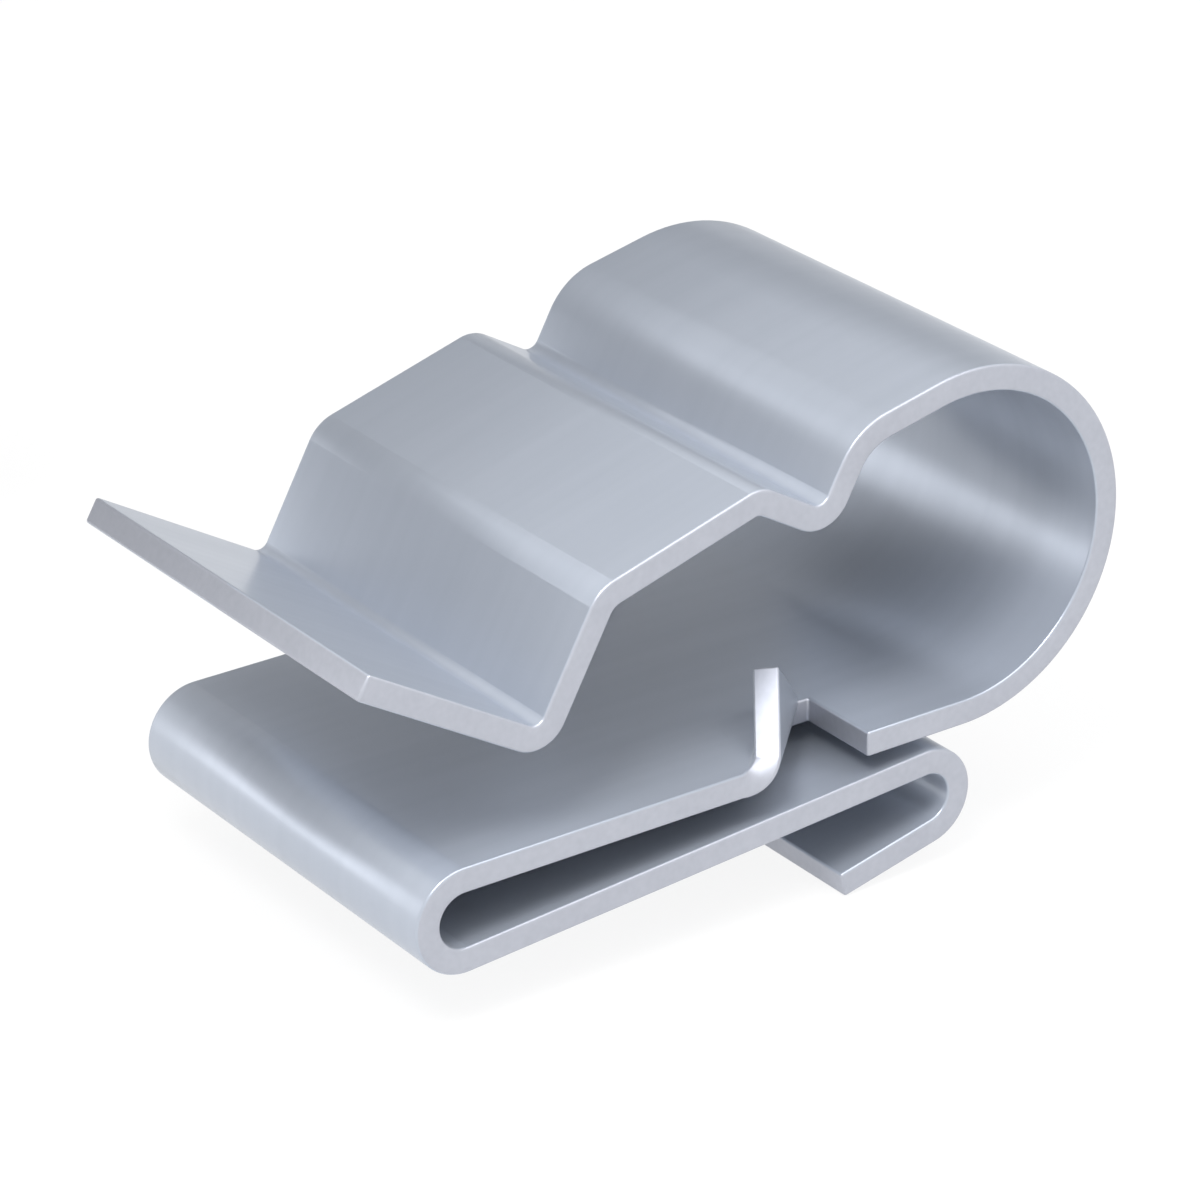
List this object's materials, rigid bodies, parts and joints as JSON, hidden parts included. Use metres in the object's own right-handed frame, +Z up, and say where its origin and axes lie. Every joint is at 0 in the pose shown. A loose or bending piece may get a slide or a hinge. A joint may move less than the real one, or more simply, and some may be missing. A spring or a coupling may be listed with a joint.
{
  "type": "cable clip",
  "caption": "Spring cable clip folded from one steel strip: round loop, roofed second cable space with a flared lip, corner lugs between, and a hairpin slot that pushes onto a panel frame flange.",
  "frame": {"origin": "closed end of the flange slot, where the flange's edge stops, on the underside of the seat and in the middle of the strip's width", "axes": "+X from the closed end of the slot to its mouth, the way the flange leaves; +Y across the strip's width, along the cables; +Z up through the seat to the cable side"},
  "size_m": [0.0233, 0.013, 0.0137],
  "materials": {
    "spring_steel": "satin"
  },
  "bodies": {
    "root": {"spring_clip": "spring_steel"}
  },
  "joints": []
}
